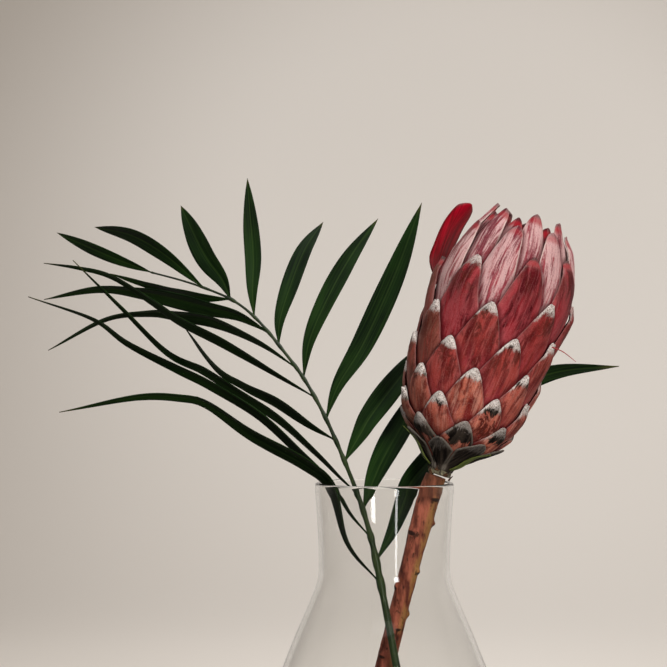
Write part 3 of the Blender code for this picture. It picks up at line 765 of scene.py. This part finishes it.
def felt_rim(shape, points, distance, reach, size, seed):
    """A woolly roll along both edges of a bract's tip, thickest at the very tip."""
    shown = distance[:, 0] < reach
    line = np.concatenate([points[shown, 0], points[shown, -1][::-1]])
    rows, sides = 60, 8
    line = smooth_line([*line[::2], line[-1]], rows)
    share = np.abs(np.linspace(-1, 1, rows))
    radii = size * (1 - share) ** 0.5 * (0.25 + 0.75 * (1 - share) ** 3) + 0.02
    bumps = 1 + 0.5 * wobble(np.arange(rows)[:, None] * 0.5, np.arange(sides)[None] * 1.3, seed)
    shape.tube(line, radii, sides, finish=1, bumps=bumps)


def bract_finish(whorl, number):
    """The whorl's finish, varied from bract to bract. tan is a browner cast on the left."""
    azimuth = whorl_azimuth(whorl, number)
    rng = random.Random(whorl * 31 + number)
    finish = dict(FINISHES[whorl - 1])
    finish["char"] *= rng.uniform(0.6, 1.4)
    finish["brown"] *= rng.uniform(0.8, 1.2)
    finish["warm"] = min(1.0, finish["warm"] * rng.uniform(0.7, 1.4))
    finish["tan"] = 0.75 * float(ease(azimuth, -35, -70) * ease(azimuth, -165, -120)) * (whorl < 9)
    finish["felt"] *= 1 - 0.5 * float(ease(azimuth, 62, 80) * ease(azimuth, 160, 130))
    if whorl == 3 and 0 < azimuth < 40:
        finish["char"], finish["brown"] = 0.42, 1.7
    if whorl == 7:
        front_left = -60 < azimuth < 0
        finish["felt"], finish["ember"] = (0.7, 0.0) if front_left else (0.1, 0.9)
        finish["brown"] = 0.8 if front_left else finish["brown"]
    return finish


def bract_owner(whorl, number):
    """The CAD node that a bract stands for, if any, and its material slot."""
    if whorl <= SEPARATE_WHORLS:
        return f"bract_{whorl}_{number + 1}", "withered_bract" if whorl == 1 else "lower_bract"
    return f"bract_whorl_{whorl}" if whorl < INNER_WHORL else None, "upper_bract"


def make_bract(whorl, number, skin, wool):
    seed = (whorl * 7 + number) * 0.137 % 1
    points, values = bract_grid(whorl, number, seed)
    finish = bract_finish(whorl, number)
    shape = Shape()
    shape.shell(points, BRACT_THICKNESS, **values, **finish)
    if finish["felt"] > 0.3:
        felt_rim(shape, points, values["below_tip"], 4.5 * finish["felt"], 0.5 * finish["felt"], seed)
    node, slot = bract_owner(whorl, number)
    shape.piece(f"bract_{whorl}_{number + 1}_blade", [skin, wool], node, in_bloom)


def make_loose_bract():
    points, values = bract_grid(LOOSE_WHORL, LOOSE_NUMBER, 0.4)
    shape = Shape()
    shape.shell(points, BRACT_THICKNESS, **values)
    shape.piece("loose_bract_blade", [red_skin()], "loose_red_bract", in_bloom)


def make_receptacle():
    profile = smooth_line([(0.01, -1.4), (4.4, -1.4), (4.7, 0.5), (4.5, 2.5), (4.9, 6), (5.2, 9), (4.6, 12),
                           (2.6, 13.8), (0.01, 14.2)], 40)
    rings = turned(profile, 48)
    lumps = 1 + 0.05 * wobble(rings[:, :, 0] * 0.5, rings[:, :, 1] * 0.5 + rings[:, :, 2] * 0.3, 0.3)
    shape = Shape()
    shape.grid(rings * lumps[:, :, None], closed=True)
    shape.piece("receptacle_flesh", [receptacle_skin()], "receptacle", in_bloom)


def make_collar():
    """Small dead scales where the stem meets the bloom."""
    shape = Shape()
    rng = random.Random(5)
    count, across = 11, np.linspace(-1, 1, 5)
    for i in range(count):
        azimuth = i * 137.5 - 75
        level = 1.2 - 0.42 * i
        reach = rng.uniform(1.4, 2.4)
        rows = []
        for t in np.linspace(0, 1, 8):
            radius = COLLAR_RADIUS + 0.7 * t * t + 0.2 * i / count
            half = (1.5 * (1 - t) ** 0.6 + 0.05) * rng.uniform(0.93, 1.07)
            where = azimuth + np.degrees(half * across / radius)
            rows.append(around(where, radius - 0.3 * across**2, level + reach * t))
        shape.shell(np.array(rows), 0.35)
    shape.piece("collar_scales", [scale_skin()], None, in_bloom)


def spoke(angle, radius, height):
    return np.array([radius * math.cos(angle), radius * math.sin(angle), height])


def make_florets():
    """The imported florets: a rounded core, and slender hairy tips leaning in over it."""
    core = smooth_line([(0.01, 15.3), (2.6, 15.3), (5.2, 20), (8.4, 24.6), (11.2, 31), (14.2, 41), (18.2, 55),
                        (19.8, 68), (19, 79), (15.8, 88), (10.5, 94), (4, 96.5), (0.01, 97)], 60)
    shape = Shape()
    shape.grid(turned(core, 64), closed=True, along=0.3)
    rng = random.Random(11)
    for i in range(FLORET_COUNT):
        spread = math.sqrt((i + 0.5) / FLORET_COUNT)
        radius = 14.5 * spread
        angle = i * FLORET_TURN
        foot = float(np.interp(radius, [0, 4, 10.5, 15.8], [97, 96.5, 94, 88])) - 3
        top = foot + 11.5 - 3 * spread + rng.uniform(-1, 1)
        lean = rng.uniform(0.55, 0.7) if spread > 0.35 else 0.8
        start, end = spoke(angle, radius, foot), spoke(angle + 0.1, radius * lean, top)
        line = smooth_line([start, (start + end) / 2 + spoke(angle, 0.7, 0.0), end], 9)
        share = np.linspace(0, 1, 9)
        radii = 0.62 * (1 - share) ** 0.5 * (1 - 0.3 * share) + 0.08
        shape.tube(line, radii, 6, along=share[:, None])
    shape.piece("floret_tips", [floret_skin()], "floret_mass", in_bloom)


def make_green_leaves():
    skin = green_skin()
    across = np.linspace(-1, 1, 7)
    for number, (azimuth, drift) in enumerate([(-72, -8), (47, 14), (165, 6)], 1):
        rows, side, along = [], [], []
        for t in np.linspace(0, 1, 26):
            height = 1.6 + 12.4 * t
            half = 1.45 * math.sin(math.pi * min(1, 0.12 + 0.88 * t)) ** 0.7 + 0.05
            where = azimuth + drift * (t - 0.5)
            radius, level = on_layer(1, height, where, outwards=1.2 + 0.5 * math.sin(t * 7))
            where = where + np.degrees(half * across / radius)
            rows.append(around(where, radius + 0.25 * np.abs(across), level))
            side.append(half * across)
            along.append([13 * t] * len(across))
        shape = Shape()
        shape.shell(np.array(rows), 0.3, side=np.array(side), along=np.array(along))
        node = f"green_basal_leaf_{number}"
        shape.piece(f"green_leaf_{number}_blade", [skin], node, in_bloom)


def make_stray_fibre(skin):
    """One thin reddish hair that stands out of the bloom's right side."""
    start = Vector(around(62.0, 28.2, 62.0).tolist())
    line = smooth_line([start, start + Vector((5, -1.5, -0.5)), start + Vector((11, -2, -2.6))], 16)
    shape = Shape()
    painted = dict(below_tip=30, from_edge=3, side=0, seed=0.3, cover=9, tan=0, **FINISHES[5])
    shape.tube(line, np.linspace(0.28, 0.12, 16), 6, **painted)
    shape.piece("stray_fibre", [skin], None, in_bloom)


def make_bloom():
    skin, wool = bract_skin(), felt_wool()
    for whorl in range(1, INNER_WHORL + 1):
        for number in range(BRACTS_PER_WHORL):
            if (whorl, number) != (LOOSE_WHORL, LOOSE_NUMBER):
                make_bract(whorl, number, skin, wool)
    make_loose_bract()
    make_receptacle()
    make_collar()
    make_florets()
    make_green_leaves()
    make_stray_fibre(skin)


# --- stem ---
def make_stem():
    rows, sides = 360, 56
    line = smooth_line([(*centre, radius) for centre, radius in STEM], rows)
    centres, heights, radii = line[:, :3], line[:, 2:3], line[:, 3]
    angles = np.linspace(0, math.tau, sides, endpoint=False)
    scar = np.zeros((rows, sides))
    bumps = 1 + 0.05 * wobble(heights * 0.09, np.cos(angles) * 1.2 + np.sin(angles) * 0.7, 0.2)
    bumps += 0.03 * wobble(heights * 0.35, np.cos(angles) * 3 + np.sin(angles) * 2, 0.6)
    for z, turn, size in STEM_SCARS:
        sideways = np.abs((angles - math.radians(turn) + math.pi) % math.tau - math.pi) * STEM_RADIUS
        bumps += 0.26 * np.exp(-((heights - z) / (size * 0.8)) ** 2 - (sideways / size) ** 2)
        mark = np.exp(-((heights - z + 0.7) / (size * 0.45)) ** 2 - (sideways / (size * 0.9)) ** 2)
        scar = np.maximum(scar, mark)
    shape = Shape()
    shape.tube(centres, radii, sides, bumps=bumps, around=angles[None], scar=scar,
               along=np.linspace(0, 1, rows)[:, None])
    shape.piece("protea_stem_bark", [stem_bark()], "protea_stem")


# --- frond ---
def leaflet_share(u):
    """Width of a leaflet at share u of its length, against its widest."""
    return max(u**0.9 * (1 - u) ** 0.95 / 0.2776, 0.1 * (1 - u) + 0.02)


def make_leaflet(node, points, width, roll, slimming, seed, skin, spine):
    """One leaflet, from inside the rachis to its tip."""
    *foot, rachis_radius = spine[np.argmin(np.linalg.norm(spine[:, :3] - points[0], axis=1))]
    heading = np.array(points[1]) - foot
    start = foot + heading / np.linalg.norm(heading) * rachis_radius * 0.5
    line = smooth_line([start, *points[1:]], LEAFLET_ROWS)
    length = float(np.sum(np.linalg.norm(np.diff(line, axis=0), axis=1)))
    columns = np.linspace(-1, 1, LEAFLET_COLUMNS)
    rows, side = [], []
    tangents = np.gradient(line, axis=0)
    for i, centre in enumerate(line):
        u = i / (LEAFLET_ROWS - 1)
        along = tangents[i] / np.linalg.norm(tangents[i])
        flat = np.cross(along, (0, 1, 0))
        flat /= np.linalg.norm(flat)
        deep = np.cross(flat, along)
        turn = math.radians(roll + LEAFLET_TWIST * wobble(u * 2.2, 0.3, seed))
        across = flat * math.cos(turn) + deep * math.sin(turn)
        up = np.cross(across, along)
        half = width / 2 * leaflet_share(u) * (1 - slimming * float(ease(u, 0.3, 0.75)))
        ripple = 0.05 * width * wobble(u * 5, columns * 1.3, seed) * np.abs(columns)
        rise = ripple * leaflet_share(u) - half * np.abs(columns) * LEAFLET_FOLD
        rows.append(centre + np.outer(half * columns, across) + np.outer(rise, up))
        side.append(half * columns)
    share = np.linspace(0, 1, LEAFLET_ROWS)[:, None]
    painted = dict(side=np.array(side), along=share * length, share=share, seed=seed)
    shape = Shape()
    shape.shell(np.array(rows), LEAFLET_THICKNESS, **painted)
    shape.piece(f"{node}_blade", [skin], node)


def make_frond():
    count = 260
    spine = smooth_line([(*centre, radius) for centre, radius in RACHIS], count)
    shape = Shape()
    swell = np.ones(count)
    for points, _, _ in RIGHT_LEAFLETS + LEFT_LEAFLETS:
        gap = np.linalg.norm(spine[:, :3] - points[0], axis=1)
        swell += 0.35 * np.exp(-((gap - gap.min()) / 1.6) ** 2)  # a slight knot at each leaflet's foot
    shape.tube(spine[:, :3], spine[:, 3] * swell, 14)
    shape.piece("palm_rachis_stalk", [rachis_skin()], "palm_rachis")
    skin = leaf_skin()
    for hand, leaflets, first_seed in (("right", RIGHT_LEAFLETS, 0.0), ("left", LEFT_LEAFLETS, 0.5)):
        share, slimming = LEAFLET_BUILD[hand]
        for number, (points, width, roll) in enumerate(leaflets, 1):
            node, seed = f"palm_leaflet_{hand}_{number}", number * 0.173 + first_seed
            make_leaflet(node, points, width * share, roll, slimming, seed, skin, spine)


# --- studio ---
def make_stage():
    """A round pale floor that curves up into a wall, far enough out to film from any side."""
    profile = [(0.0, 0.0), (FLOOR_RADIUS, 0.0)]
    for a in np.linspace(0.05, math.pi / 2, 30):
        profile.append((FLOOR_RADIUS + WALL_BEND * math.sin(a), WALL_BEND * (1 - math.cos(a))))
    profile.append((FLOOR_RADIUS + WALL_BEND, WALL_TOP))
    rings = turned(profile, STAGE_SEGMENTS)
    rings[:, :, 2] -= FLOOR_DROP
    index = np.arange(len(profile) * STAGE_SEGMENTS).reshape(-1, STAGE_SEGMENTS)
    mesh = bpy.data.meshes.new("studio_floor")
    mesh.from_pydata(rings.reshape(-1, 3).tolist(), [], grid_faces(index, closed=True).tolist())
    mesh.shade_smooth()
    mesh.materials.append(studio_paint())
    floor = add_object("studio_floor", mesh)


def studio_paint():
    """Pale paint with painted light near the bloom and painted shade far from it, which throws back little
    light.
    """
    f = Finish("studio_paint", 0.9, specular=0.0)
    # Rays that see the wall itself, through nothing or only through glass.
    bounces = f.plus(f.ray("Diffuse Depth"), f.ray("Glossy Depth"))
    through_glass = f.minus(f.ray("Is Transmission Ray"), bounces, clamp=True)
    seen = f.calc("MAXIMUM", f.ray("Is Camera Ray"), through_glass)
    spot = f.node("TexCoord").outputs["Object"]
    depth = f.node("SeparateXYZ", Vector=spot).outputs["Y"]
    flat = f.node("Mapping", Scale=(1, 0, 1), Location=(-0.15, 0, -0.38), Vector=spot)
    away = f.node("VectorMath", Vector=flat.outputs[0])
    away.operation = "LENGTH"
    # Painted shade: the wall darkens away from a spot behind the bloom and toward the back.
    dimmed = f.times(f.ramp(away.outputs["Value"], 0.25, 0.85), f.ramp(depth, 0.1, 0.5))
    shown = f.mix(dimmed, (246, 237, 227), (190, 179, 167))
    # Painted reflection: glass and gloss see the wall dark in front, standing in for a dark room, and pale
    # behind.
    mirror = f.minus(f.ray("Glossy Depth"), f.ray("Diffuse Depth"), clamp=True)
    mirrored = f.mix(f.ramp(depth, 0.0, 1.2), (92, 88, 84), (235, 227, 218))
    f.colour(f.mix(seen, f.mix(mirror, (128, 122, 116), mirrored), shown))
    return f.material


def softbox(name, place, size, power, aim=SUBJECT, colour=(1, 1, 1), mirrored=True, spread=180):
    """A rectangular lamp that no camera sees; glass and gloss show it only if mirrored."""
    light = bpy.data.lights.new(name, "AREA")
    light.shape = "RECTANGLE"
    light.size, light.size_y = size
    light.energy, light.color, light.spread = power, colour, math.radians(spread)
    lamp = add_object(name, light)
    lamp.location = place
    lamp.visible_camera = False
    lamp.visible_glossy = lamp.visible_transmission = mirrored
    lamp.rotation_euler = (Vector(aim) - Vector(place)).to_track_quat("-Z", "Y").to_euler()


def make_camera():
    camera = bpy.data.cameras.new("camera")
    camera.lens, camera.sensor_width = LENS, SENSOR
    view = add_object("camera", camera)
    view.location = Vector(CAMERA_PLACE) * MM
    view.rotation_euler = (math.pi / 2, 0, 0)
    bpy.context.scene.camera = view


def make_air():
    """An even white sky, weaker where it is seen through the glass."""
    world = bpy.data.worlds.new("studio_air")
    world.use_nodes = True
    air = Nodes(world.node_tree)
    sky = world.node_tree.nodes["Background"]
    sky.inputs["Color"].default_value = (1.0, 1.0, 1.0, 1)
    through_glass = air.minus(air.ray("Is Transmission Ray"), air.ray("Diffuse Depth"))
    air.put(sky.inputs["Strength"], air.ramp(through_glass, 0.0, 1.0, 0.62, 0.1))
    bpy.context.scene.world = world


def make_studio():
    bpy.context.scene.view_settings.view_transform = "Standard"
    make_camera()
    make_air()
    hidden = dict(mirrored=False, spread=90)
    softbox("window_right", (0.4, -1.12, 0.54), (0.27, 0.84), 2.45, colour=(1.0, 0.98, 0.96), **hidden)
    softbox("window_left", (-0.85, -0.85, 0.65), (0.33, 0.52), 0.58, colour=(0.95, 0.98, 1.0), **hidden)
    softbox("window_pane", (0.4, -1.12, 0.24), (0.16, 0.16), 0.15, spread=60)
    softbox("back_fill", (-0.5, 1.0, 0.7), (0.6, 0.6), 0.8, **hidden)
    softbox("window_sill", (0.115, -0.34, 0.075), (0.02, 0.11), 0.005, aim=(0.0, 0.0, 0.15), spread=60)
    softbox("sky", (0.5, 0.3, 2.0), (1.6, 1.6), 8)
    softbox("wall_wash", (0.9, 0.9, 2.3), (1.2, 0.6), 13, aim=(0.5, 2.8, 0.6))
    make_stage()


make_vase()
make_bloom()
make_stem()
make_frond()
make_studio()
